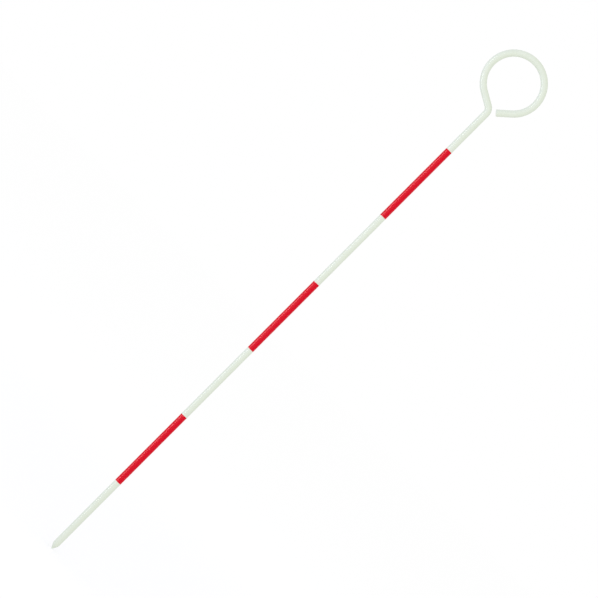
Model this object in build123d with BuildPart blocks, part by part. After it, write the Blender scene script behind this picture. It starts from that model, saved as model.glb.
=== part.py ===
"""Survey marker pin: one steel wire, ground to a point below and bent to an open eye above,
painted in red and white bands. It stands upright with its painted point at the origin,
the shank along +Z and the eye in the XZ plane."""
from build123d import *

import os
from math import radians, sin, sqrt, tan

os.makedirs("parts", exist_ok=True)

# Steel wire and the paint on it
wire_diameter = 3.7
film = 0.1

# Ground point
point_angle = 60  # included angle of the cone
tip_flat = 0.12  # diameter left blunt at the very tip of the steel
tip_rounding = 0.15  # on the edge of that flat
shoulder_rounding = 3.0  # where the cone runs into the shank

# Painted bands up the shank, all of one length, above the white band on the point
band_length = 50
band_names = [
    "lower_red_band",
    "lower_white_band",
    "middle_red_band",
    "upper_white_band",
    "upper_red_band",
]

# Bends at the top, in the order in which the wire is bent
neck_length = 30.5  # from the top red band to the corner of the neck
neck_turn = 60
neck_inside_radius = 2.8
lead_length = 10.4  # from the corner of the neck to the start of the round
eye_inside_diameter = 28.9
tail_departure = 41.5  # degrees right of straight down, where the round runs out into the tail
mouth = 2.5  # clear width between the tail's painted end and the painted neck
end_rounding = 0.4  # on the cut edge of the tail

wire_radius = wire_diameter / 2
coat_radius = wire_radius + film
half_angle = radians(point_angle / 2)
tip_centre = tip_rounding + film
bands_top = band_length * (len(band_names) + 1)
neck_height = bands_top + neck_length
neck_radius = neck_inside_radius + wire_radius
neck_run = neck_radius * tan(radians(neck_turn / 2))
eye_radius = eye_inside_diameter / 2 + wire_radius
eye_sweep = 270 + neck_turn - tail_departure


def pointed_section(radius, rounding, shoulder, top):
    """Half section of a pointed shank: a blunt tip, a cone and a straight side up to the top."""
    cone_reach = radius - tip_flat / 2
    shoulder_height = tip_centre + cone_reach / tan(half_angle) - rounding / sin(half_angle)
    with BuildSketch(Plane.XZ) as section:
        with BuildLine():
            nose = CenterArc((tip_flat / 2, tip_centre), rounding, -90, 90 - point_angle / 2)
            cone = Line(nose @ 1, (radius, shoulder_height))
            Polyline(cone @ 1, (radius, top), (0, top), (0, tip_centre - rounding), nose @ 0)
        make_face()
        corner = section.vertices().group_by(Axis.X)[-1].sort_by(Axis.Y)[0]
        fillet(corner, shoulder)
    return section.sketch


# Centre line of the bends, from the top of the bands to the cut end of the steel
with BuildLine(Plane.XZ) as bends:
    stem = Line((0, bands_top), (0, neck_height - neck_run))
    neck = JernArc(stem @ 1, stem % 1, neck_radius, neck_turn)
    lead = Line(neck @ 1, neck @ 1 + (neck % 1) * (lead_length - neck_run))
    eye = JernArc(lead @ 1, lead % 1, eye_radius, -eye_sweep)
    # The tail runs straight towards the neck and stops where the mouth is left open
    to_neck = neck.arc_center - eye @ 1
    along = to_neck.dot(eye % 1)
    aside = (to_neck - (eye % 1) * along).length
    painted_tail = along - sqrt((neck_radius + coat_radius + mouth) ** 2 - aside**2)
    tail = Line(eye @ 1, eye @ 1 + (eye % 1) * (painted_tail - film))
tail_end = Plane(origin=tail @ 1, z_dir=tail % 1)

# Steel wire: the pointed shank, the bends and the deburred end of the tail
steel_section = pointed_section(wire_radius, tip_rounding, shoulder_rounding, bands_top)
with BuildPart() as steel_wire:
    revolve(steel_section, axis=Axis.Z)
    with BuildSketch(Plane.XY.offset(bands_top)):
        Circle(wire_radius)
    sweep(path=bends.line)
    cut_face = steel_wire.faces().sort_by_distance(tail_end.origin)[0]
    fillet(cut_face.edges(), end_rounding)
steel_wire.part.label = "steel_wire"
export_step(steel_wire.part, "parts/steel_wire.step")

# White paint on the point, closed over the tip
point_outline = pointed_section(coat_radius, tip_rounding + film, shoulder_rounding + film, band_length)
with BuildPart() as point_white_band:
    revolve(point_outline, axis=Axis.Z)
    add(steel_wire.part, mode=Mode.SUBTRACT)
point_white_band.part.label = "point_white_band"
export_step(point_white_band.part, "parts/point_white_band.step")

# Red and white paint up the shank, each band a sleeve of its own that butts on the next
for number, name in enumerate(band_names, start=1):
    with BuildPart() as band:
        with BuildSketch(Plane.XY.offset(number * band_length)):
            Circle(coat_radius)
            Circle(wire_radius, mode=Mode.SUBTRACT)
        extrude(amount=band_length)
    band.part.label = name
    export_step(band.part, f"parts/{name}.step")

# White paint on the neck, the eye and the tail, closed over the cut end
with BuildPart() as eye_white_coat:
    with BuildSketch(Plane.XY.offset(bands_top)):
        Circle(coat_radius)
    sweep(path=bends.line)
    with BuildSketch(tail_end):
        Circle(coat_radius)
    extrude(amount=film)
    end_face = eye_white_coat.faces().sort_by_distance(tail_end.offset(film).origin)[0]
    fillet(end_face.edges(), end_rounding + film)
    add(steel_wire.part, mode=Mode.SUBTRACT)
eye_white_coat.part.label = "eye_white_coat"
export_step(eye_white_coat.part, "parts/eye_white_coat.step")
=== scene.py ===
from itertools import accumulate
from math import cos, dist, exp, pi, radians, sin, sqrt, tan

import bpy
from mathutils import Matrix, Vector


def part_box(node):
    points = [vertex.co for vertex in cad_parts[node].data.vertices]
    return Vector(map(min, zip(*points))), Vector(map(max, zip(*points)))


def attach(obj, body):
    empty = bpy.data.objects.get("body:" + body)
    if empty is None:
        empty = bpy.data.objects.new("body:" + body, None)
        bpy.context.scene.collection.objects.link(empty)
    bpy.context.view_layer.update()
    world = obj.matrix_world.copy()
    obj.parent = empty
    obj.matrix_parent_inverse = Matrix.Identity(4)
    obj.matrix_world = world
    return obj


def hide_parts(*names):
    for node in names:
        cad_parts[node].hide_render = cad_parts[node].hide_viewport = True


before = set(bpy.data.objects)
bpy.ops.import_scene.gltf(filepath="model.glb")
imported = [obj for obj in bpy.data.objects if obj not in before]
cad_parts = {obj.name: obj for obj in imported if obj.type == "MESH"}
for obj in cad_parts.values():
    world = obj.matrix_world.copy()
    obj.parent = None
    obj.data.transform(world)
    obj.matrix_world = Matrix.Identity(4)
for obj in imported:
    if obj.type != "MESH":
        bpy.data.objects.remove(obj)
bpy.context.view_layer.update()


# Steel wire: cold-drawn mild steel, ground to a cone at its foot, then bent cold round two mandrels into
# the neck and the open eye. Paint closes over all of it, so its surface shows only where a film is lifted.
mm = 0.001
film = 0.1 * mm
coat_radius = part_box("lower_red_band")[1].x
wire_radius = coat_radius - film
coat_low, coat_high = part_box("eye_white_coat")
eye_radius = (coat_high.x - coat_low.x) / 2 - coat_radius
eye_centre = Vector(((coat_high.x + coat_low.x) / 2, 0, coat_high.z - eye_radius - coat_radius))

neck_turn = radians(60)
neck_radius = 2.8 * mm + wire_radius
tail_departure = radians(41.5)  # right of straight down, where the round runs out into the tail
mouth = 2.5 * mm  # clear width between the painted tail and the painted neck
eye_sweep = radians(270) + neck_turn - tail_departure


def heading(angle):
    """Direction of the wire when it leans left of straight up by this angle, in the plane of the eye."""
    return Vector((-sin(angle), 0, cos(angle)))


def right_of(angle):
    """Direction square to that heading, on its right in the same plane."""
    return Vector((cos(angle), 0, sin(angle)))


round_start = eye_centre - eye_radius * right_of(neck_turn)
lead = -round_start.x / sin(neck_turn)  # from the corner of the neck to the start of the round
neck_run = neck_radius * tan(neck_turn / 2)
stem = round_start.z - lead * cos(neck_turn) - neck_run

tail_heading = neck_turn - eye_sweep
to_neck = Vector((-neck_radius, 0, stem)) - (eye_centre - eye_radius * right_of(tail_heading))
past = to_neck.dot(heading(tail_heading))
aside = to_neck.dot(right_of(tail_heading))
tail = past - sqrt((neck_radius + coat_radius + mouth) ** 2 - aside**2)

# Each leg of the wire is its length and its curvature, where a left turn counts as positive
legs = [
    (stem, 0),
    (neck_radius * neck_turn, 1 / neck_radius),
    (lead - neck_run, 0),
    (eye_radius * eye_sweep, -1 / eye_radius),
    (tail, 0),
]
wire_end = sum(length for length, curvature in legs)


def along_wire(distance):
    """Centre of the wire this far from the point, and the direction square to it in the plane of the eye."""
    centre = Vector((0, 0, 0))
    lean = 0
    for number, (length, curvature) in enumerate(legs):
        last = number == len(legs) - 1
        step = distance if last else min(distance, length)
        turned = lean + curvature * step
        if curvature:
            centre += (right_of(turned) - right_of(lean)) / curvature
        else:
            centre += heading(lean) * step
        lean = turned
        distance -= step
        if distance <= 0:
            break
    return centre, right_of(lean)


def linear(hex_colour):
    """The linear colour that a shader takes, from an sRGB hex value."""
    channels = [int(hex_colour[start:start + 2], 16) / 255 for start in (1, 3, 5)]
    return [c / 12.92 if c <= 0.04045 else ((c + 0.055) / 1.055) ** 2.4 for c in channels] + [1]


def add_node(tree, kind, inputs, **settings):
    """Adds a node with its settings; each input takes a value, or a link where a socket is given."""
    made = tree.nodes.new(kind)
    for name, value in settings.items():
        setattr(made, name, value)
    for name, value in inputs.items():
        if isinstance(value, bpy.types.NodeSocket):
            tree.links.new(value, made.inputs[name])
        else:
            made.inputs[name].default_value = value
    return made


def new_material(name):
    """An empty node material."""
    material = bpy.data.materials.new(name)
    material.use_nodes = True
    material.node_tree.nodes.clear()
    return material


# Drawn steel has a grey satin sheen streaked along the shank by the die. The real streaks are a few
# hundredths of a millimetre wide, so they are drawn at 0.15 mm to show at all.
drawn_steel = new_material("cold_drawn_steel")
tree = drawn_steel.node_tree
die_mark = 0.15 * mm
die_mark_stretch = 0.01  # width of a mark over its length
die_mark_depth = 0.01 * mm
smooth = 0.28
dull = 0.42
place = add_node(tree, "ShaderNodeTexCoord", {})
along = add_node(
    tree, "ShaderNodeMapping", {"Vector": place.outputs["Object"], "Scale": (1, 1, die_mark_stretch)}
)
streaks = add_node(
    tree, "ShaderNodeTexNoise", {"Vector": along.outputs[0], "Scale": 1 / die_mark, "Detail": 3}
)
# A mix of colours takes its share at input 0 and the colours at 6 and 7, and gives the result at output 2
grey = add_node(
    tree,
    "ShaderNodeMix",
    {0: streaks.outputs[0], 6: linear("#9C9D9F"), 7: linear("#B9BABB")},
    data_type="RGBA",
)
sheen = add_node(
    tree, "ShaderNodeMapRange", {"Value": streaks.outputs[0], "To Min": smooth, "To Max": dull}
)
scratch = add_node(
    tree, "ShaderNodeBump", {"Height": streaks.outputs[0], "Strength": 0.3, "Distance": die_mark_depth}
)
steel = add_node(
    tree,
    "ShaderNodeBsdfPrincipled",
    {
        "Base Color": grey.outputs[2],
        "Metallic": 1,
        "Roughness": sheen.outputs[0],
        "Normal": scratch.outputs[0],
    },
)
add_node(tree, "ShaderNodeOutputMaterial", {"Surface": steel.outputs[0]})
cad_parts["steel_wire"].material_slots[0].material = drawn_steel


# White paint on the point: alkyd enamel brushed over the ground cone and the lowest 50 mm, closed over the
# tip. It is a film a tenth of a millimetre thick that stands a little uneven, as wet paint sets.
cone_half_angle = radians(30)
tip_flat = 0.12 * mm  # diameter left blunt at the very tip of the steel
tip_rounding = 0.15 * mm  # on the edge of that flat
shoulder_rounding = 3 * mm
tip_centre = tip_rounding + film
band_edges = [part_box(f"{name}_red_band")[end].z for name in ("lower", "middle", "upper") for end in (0, 1)]
overlap = 0.5 * mm  # the white runs this far in under the red
ring_pitch = 2.5 * mm  # rings of the mesh along a straight stretch
ring_turn = radians(4)  # and the turn from ring to ring in a bend
profile_turn = radians(5)  # and along a rounded profile
sides = 64  # corners in a ring
crease = radians(40)  # a turn from face to face that shows as an edge
strip_pitch = 1.04  # of the strips of a film laid flat, in widths of a strip

# The film swells in waves. Each has its length along the wire, its count round it, its share and its start
swell = 0.015 * mm
swell_waves = [(9 * mm, 2, 0.5, 0), (15 * mm, -1, 0.5, 1), (6 * mm, 3, 0.3, 2)]

# A band's edge wavers too. Each wave has its count round the wire, its share and its lag from edge to edge
waver = 0.07 * mm
waver_reach = 2 * mm
waver_waves = [(1, 0.5, 2.1), (2, 0.3, 1.3), (5, 0.2, 1), (9, 0.15, 0.7)]


def steps(first, last, pitch):
    """Evenly spaced values from first to last, about a pitch apart."""
    count = max(1, round(abs(last - first) / pitch))
    return [first + (last - first) * number / count for number in range(count + 1)]


def ring_places(first, last):
    """Distances of the rings along the wire from first to last, closer together where it is bent."""
    places = [first]
    leg_end = 0
    for length, curvature in legs:
        low = max(first, leg_end)
        leg_end += length
        high = min(last, leg_end)
        pitch = min(ring_pitch, ring_turn / abs(curvature)) if curvature else ring_pitch
        if high > low:
            places += steps(low, high, pitch)[1:]
    return places


def pointed_end(radius, rounding, shoulder):
    """Distance and radius of a pointed end, from its blunt tip over the cone to the straight shank."""
    cone_reach = radius - tip_flat / 2
    corner = tip_centre + cone_reach / tan(cone_half_angle) - rounding / sin(cone_half_angle)
    shank_start = corner + shoulder * tan(cone_half_angle / 2)
    nose = [
        (tip_centre - rounding * cos(turn), tip_flat / 2 + rounding * sin(turn))
        for turn in steps(0, pi / 2 - cone_half_angle, profile_turn)
    ]
    shoulder_round = [
        (shank_start - shoulder * sin(turn), radius - shoulder + shoulder * cos(turn))
        for turn in steps(cone_half_angle, 0, profile_turn)
    ]
    return [(tip_centre - rounding, 0)] + nose + shoulder_round


def uneven(distance, turn):
    """Where wet paint really lies: a shift along the wire near a band's edge, and a swelling of the film."""
    shift = 0
    for number, edge in enumerate(band_edges):
        near = exp(-(((distance - edge) / waver_reach) ** 2))
        wave = sum(share * sin(count * turn + lag * number) for count, share, lag in waver_waves)
        shift += waver * wave * near
    rise = sum(
        share * sin(2 * pi * distance / length + count * turn + start)
        for length, count, share, start in swell_waves
    )
    return shift, swell * rise


def film_corners(section):
    """Corners of a film turned about the wire, and the ring of them that each point of its section gives. A
    point on the wire's own axis gives one corner, which closes the film over an end."""
    corners = []
    rings = []
    for distance, radius in section:
        if radius == 0:
            rings.append([len(corners)])
            corners.append(along_wire(distance)[0])
            continue
        rings.append(range(len(corners), len(corners) + sides))
        swollen = min(1, max(0, (radius - wire_radius) / film))  # none of it where the film meets the steel
        for number in range(sides):
            turn = 2 * pi * number / sides
            shift, rise = uneven(distance, turn)
            centre, right = along_wire(distance + shift)
            reach = radius + rise * swollen
            corners.append(centre + reach * (cos(turn) * right + sin(turn) * Vector((0, 1, 0))))
    return corners, rings


def film_faces(section, rings):
    """Faces from ring to ring, and the place of each of their corners on the film laid flat, which is cut
    across into strips that lie side by side and fill a square."""
    # The long faces against the steel are hidden, so they are laid as short as the others
    lengths = [min(ring_pitch, dist(here, there)) for here, there in zip(section, section[1:] + section[:1])]
    laid = list(accumulate(lengths, initial=0))
    strips = round(sqrt(laid[-1] / (2 * pi * coat_radius)))
    strip_length = laid[-1] / strips
    longest_strip = strip_length + ring_pitch  # a strip runs on to the first ring past its cut
    faces = []
    flat = []
    for row, (ring, following) in enumerate(zip(rings, rings[1:] + rings[:1])):
        if len(ring) == 1 and len(following) == 1:
            continue
        strip = int(laid[row] / strip_length)
        low = (laid[row] - strip * strip_length) / longest_strip
        high = (laid[row + 1] - strip * strip_length) / longest_strip
        for number in range(sides):
            after = number + 1
            left = (strip + number / sides / strip_pitch) / strips
            right = (strip + after / sides / strip_pitch) / strips
            face = {
                ring[number % len(ring)]: (low, left),
                ring[after % len(ring)]: (low, right),
                following[after % len(following)]: (high, right),
                following[number % len(following)]: (high, left),
            }
            faces.append(list(face))  # two corners on the axis are one
            flat += face.values()
    return faces, flat


def new_object(name, data):
    """An object in the scene that holds this mesh, lamp or camera."""
    made = bpy.data.objects.new(name, data)
    bpy.context.scene.collection.objects.link(made)
    return made


def paint_film(name, section, material, node):
    """A film of paint on the wire. Its section of distances and radii is closed: it runs up the outside of
    the film and back down the steel. It carries a map of the film laid flat, for its finish to be baked on."""
    corners, rings = film_corners(section)
    faces, flat = film_faces(section, rings)
    mesh = bpy.data.meshes.new(name)
    mesh.from_pydata(corners, [], faces)
    for corner, place in zip(mesh.uv_layers.new(name="OFBake").uv, flat):
        corner.vector = place
    mesh.shade_smooth()
    mesh.set_sharp_from_angle(angle=crease)
    mesh.materials.append(material)
    piece = new_object(name, mesh)
    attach(piece, "root")
    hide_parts(node)


def enamel(name, thin_colour, thick_colour):
    """Brushed alkyd enamel: resin that flows out nearly smooth and sets with a faint orange peel, so that a
    lamp shows in it as a soft, slightly broken streak. The colour is a little deeper where the film is thick.
    Peel cells are 1.6 mm across in such a coat, and drawn deeper than real ones so that they show."""
    material = new_material(name)
    tree = material.node_tree
    patch_size = 7 * mm
    peel_size = 1.6 * mm
    peel_depth = 0.06 * mm
    smooth = 0.24
    dull = 0.3
    place = add_node(tree, "ShaderNodeTexCoord", {})
    patches = add_node(
        tree, "ShaderNodeTexNoise", {"Vector": place.outputs["Object"], "Scale": 1 / patch_size, "Detail": 2}
    )
    tint = add_node(
        tree,
        "ShaderNodeMix",
        {0: patches.outputs[0], 6: linear(thin_colour), 7: linear(thick_colour)},
        data_type="RGBA",
    )
    gloss = add_node(
        tree, "ShaderNodeMapRange", {"Value": patches.outputs[0], "To Min": smooth, "To Max": dull}
    )
    peel = add_node(
        tree, "ShaderNodeTexNoise", {"Vector": place.outputs["Object"], "Scale": 1 / peel_size, "Detail": 1}
    )
    dimple = add_node(
        tree, "ShaderNodeBump", {"Height": peel.outputs[0], "Strength": 1, "Distance": peel_depth}
    )
    paint = add_node(
        tree,
        "ShaderNodeBsdfPrincipled",
        {
            "Base Color": tint.outputs[2],
            "Roughness": gloss.outputs[0],
            "IOR": 1.5,
            "Specular IOR Level": 0.12,  # a quarter of clear resin's, or the white tent would veil the red
            "Normal": dimple.outputs[0],
        },
    )
    add_node(tree, "ShaderNodeOutputMaterial", {"Surface": paint.outputs[0]})
    return material


white_enamel = enamel("white_alkyd_enamel", "#E6ECDE", "#E0E8D6")

painted_point = pointed_end(coat_radius, tip_rounding + film, shoulder_rounding + film)
steel_point = pointed_end(wire_radius, tip_rounding, shoulder_rounding)
film_top = band_edges[0] + overlap
painted_shank = [(distance, coat_radius) for distance in ring_places(painted_point[-1][0], film_top)]
steel_shank = [(distance, wire_radius) for distance in ring_places(steel_point[-1][0], film_top)]
point_section = painted_point[:-1] + painted_shank + steel_shank[::-1] + steel_point[-2::-1]
paint_film("white_point_paint", point_section, white_enamel, "point_white_band")


# White bands between the red ones: the same white enamel, laid on the whole wire before the red was
# masked off, so each one runs on a little way under the red at both its ends.
for name in ("lower", "upper"):
    low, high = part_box(f"{name}_white_band")
    film_low = low.z - overlap
    film_top = high.z + overlap
    outside = [(distance, coat_radius) for distance in ring_places(film_low, film_top)]
    inside = [(film_top, wire_radius), (film_low, wire_radius)]
    paint_film(
        f"{name}_white_paint", outside + inside, white_enamel, f"{name}_white_band"
    )


# White paint on the neck, the eye and the tail: one film that follows the bends and closes over the cut
# end, where the wire was cropped square and deburred before it was painted.
end_rounding = 0.4 * mm


def cropped_end(end, radius, rounding):
    """Distance and radius of a cut end, from the middle of its face over the rounded edge to the side."""
    edge = [
        (end - rounding + rounding * cos(turn), radius - rounding + rounding * sin(turn))
        for turn in steps(0, pi / 2, profile_turn)
    ]
    return [(end, 0), (end, edge[0][1] / 2)] + edge


film_low = band_edges[-1] - overlap
painted_end = cropped_end(wire_end, coat_radius, end_rounding + film)
steel_end = cropped_end(wire_end - film, wire_radius, end_rounding)
painted_run = [(distance, coat_radius) for distance in ring_places(film_low, painted_end[-1][0])]
steel_run = [(distance, wire_radius) for distance in ring_places(film_low, steel_end[-1][0])]
eye_section = painted_run + painted_end[-2::-1] + steel_end[:-1] + steel_run[::-1]
paint_film("white_eye_paint", eye_section, white_enamel, "eye_white_coat")


# Red bands: signal-red enamel laid over the white between two turns of masking tape. A ridge of paint a
# few hundredths of a millimetre high is left along each edge where the tape was pulled off.
red_enamel = enamel("red_alkyd_enamel", "#DD0022", "#D5001F")
red_film = 0.02 * mm
red_slope = 0.05 * mm  # the red has risen to about two thirds of its height this far from its edge
ridge = 0.012 * mm
ridge_place = 0.25 * mm
edge_reach = 1 * mm  # the ridge has mostly died away this far from the edge
edge_rings = 7
edge_steps = [edge_reach * (number / edge_rings) ** 2 for number in range(edge_rings + 1)]


def red_height(from_edge):
    """Height of the red paint over the white, which rises from the tape's edge to a ridge and settles."""
    body = red_film * (1 - exp(-from_edge / red_slope))
    return body + ridge * from_edge / ridge_place * exp(1 - from_edge / ridge_place)


for name in ("lower", "middle", "upper"):
    low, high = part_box(f"{name}_red_band")
    middle = ring_places(low.z + edge_steps[-1], high.z - edge_steps[-1])[1:-1]
    outside = [(low.z + step, coat_radius + red_height(step)) for step in edge_steps]
    outside += [(distance, coat_radius + red_film) for distance in middle]
    outside += [(high.z - step, coat_radius + red_height(step)) for step in reversed(edge_steps)]
    inside = [
        (high.z - overlap, coat_radius),
        (high.z - overlap, wire_radius),
        (low.z + overlap, wire_radius),
        (low.z + overlap, coat_radius),
    ]
    paint_film(f"{name}_red_paint", outside + inside, red_enamel, f"{name}_red_band")


# Floor: a plain board with a matt white face, under the point of the pin. The lit face and its faint glow add
# up to white for the camera and in reflections, and the pin's soft shadow stays round the point.
floor_size = 24
floor_white = new_material("matt_white_board")
floor_white.cycles.emission_sampling = "NONE"  # its glow lights nothing, so it isn't sampled as a lamp
tree = floor_white.node_tree
lamp_reach = 1  # the lamps light the board about this far from the pin
glow_near = 0.16  # where the lamps light the board most
glow_far = 0.2


def background_rays(tree):
    """1 for the rays that show the white surround: the camera's own, and those in reflections and glass."""
    seen = add_node(tree, "ShaderNodeLightPath", {})
    mirrored = add_node(
        tree,
        "ShaderNodeMath",
        {0: seen.outputs["Is Glossy Ray"], 1: seen.outputs["Is Transmission Ray"]},
        operation="MAXIMUM",
    )
    shown = add_node(
        tree,
        "ShaderNodeMath",
        {0: seen.outputs["Is Camera Ray"], 1: mirrored.outputs[0]},
        operation="MAXIMUM",
    )
    return shown.outputs[0]


place = add_node(tree, "ShaderNodeTexCoord", {})
away = add_node(tree, "ShaderNodeVectorMath", {0: place.outputs["Object"]}, operation="LENGTH")
glow = add_node(
    tree,
    "ShaderNodeMapRange",
    {"Value": away.outputs["Value"], "From Max": lamp_reach, "To Min": glow_near, "To Max": glow_far},
)
strength = add_node(
    tree, "ShaderNodeMath", {0: background_rays(tree), 1: glow.outputs[0]}, operation="MULTIPLY"
)
matt = add_node(tree, "ShaderNodeBsdfDiffuse", {"Color": linear("#F9F9F9")})
white = add_node(tree, "ShaderNodeEmission", {"Strength": strength.outputs[0]})
both = add_node(tree, "ShaderNodeAddShader", {0: matt.outputs[0], 1: white.outputs[0]})
add_node(tree, "ShaderNodeOutputMaterial", {"Surface": both.outputs[0]})

half = floor_size / 2
mesh = bpy.data.meshes.new("floor")
mesh.from_pydata([(-half, -half, 0), (half, -half, 0), (half, half, 0), (-half, half, 0)], [], [(0, 1, 2, 3)])
mesh.materials.append(floor_white)
floor = new_object("floor", mesh)


# Surround: a tent of white cloth round the pin. It shows as plain white to the camera and in the gloss of
# the paint, and lights the pin evenly from all sides at a little less than that.
ambient = 0.84
world = bpy.data.worlds.new("white_tent")
world.use_nodes = True
bpy.context.scene.world = world
tree = world.node_tree
tree.nodes.clear()
level = add_node(
    tree, "ShaderNodeMapRange", {"Value": background_rays(tree), "To Min": ambient, "To Max": 1}
)
tent = add_node(
    tree, "ShaderNodeBackground", {"Color": linear("#FFFFFF"), "Strength": level.outputs[0]}
)
add_node(tree, "ShaderNodeOutputWorld", {"Surface": tent.outputs[0]})


# Key light: a square softbox almost in line with the camera. It lights the pin from the front, so that the
# round wire darkens a little towards its edges.
key_angle = radians(6)  # left of the camera, seen from the pin
key_distance = 1.2
key_size = 0.8
key_level = 0.98  # as bright as this many white boards
white_board = 4  # watts per square metre of lamp that look as bright as one


def softbox(name, angle, distance, width, height, level):
    """A softbox that stands on the floor and faces the pin, left of the camera by this angle."""
    light = bpy.data.lights.new(name, "AREA")
    light.shape = "RECTANGLE"
    light.size = width
    light.size_y = height
    light.energy = level * white_board * width * height
    lamp = new_object(name, light)
    lamp.location = (-distance * sin(angle), -distance * cos(angle), height / 2)
    lamp.rotation_euler = (pi / 2, 0, -angle)
    return lamp


softbox("key_light", key_angle, key_distance, key_size, key_size, key_level)


# Fill light: a softbox on the left with the cool light of a window. It makes the left of the round wire a
# little lighter and cooler than the right, and the paint doesn't mirror it.
fill_angle = radians(70)
fill_distance = 1
fill_width = 0.5
fill_height = 0.8
fill_level = 0.8  # in its blue, and less in its red and green
fill_light = softbox("fill_light", fill_angle, fill_distance, fill_width, fill_height, fill_level)
fill_light.data.color = linear("#8090FF")[:3]
fill_light.visible_glossy = False


# Streak light: a narrow strip softbox, a little taller than the pin and close on its left. The gloss of the
# paint mirrors it as one soft streak from point to eye, and it lights nothing else.
streak_angle = radians(60)
streak_distance = 0.25
streak_width = 0.13
streak_height = 0.41
streak_level = 8
streak_light = softbox(
    "streak_light", streak_angle, streak_distance, streak_width, streak_height, streak_level
)
streak_light.visible_diffuse = False


# Camera: it looks square on to the plane of the eye through a long lens, so that the eye stays round and the
# bands equal, and it is rolled so that the pin leans to the right across the picture.
lens = 200
sensor = 36
picture_width = 318.85 * mm  # at the front of the paint
picture_centre = Vector((-0.686 * mm, 0, 187.43 * mm))
lean = radians(45.026)
camera = bpy.data.cameras.new("camera")
camera.lens = lens
camera.sensor_width = sensor
viewer = new_object("camera", camera)
back = Vector((0, -1, 0))
right = Vector((sin(lean), 0, cos(lean)))
up = back.cross(right)
turned = Matrix((right, up, back)).transposed().to_4x4()
stand_off = coat_radius + picture_width * lens / sensor
viewer.matrix_world = Matrix.Translation(picture_centre + back * stand_off) @ turned
bpy.context.scene.camera = viewer
bpy.context.scene.view_settings.view_transform = "Standard"
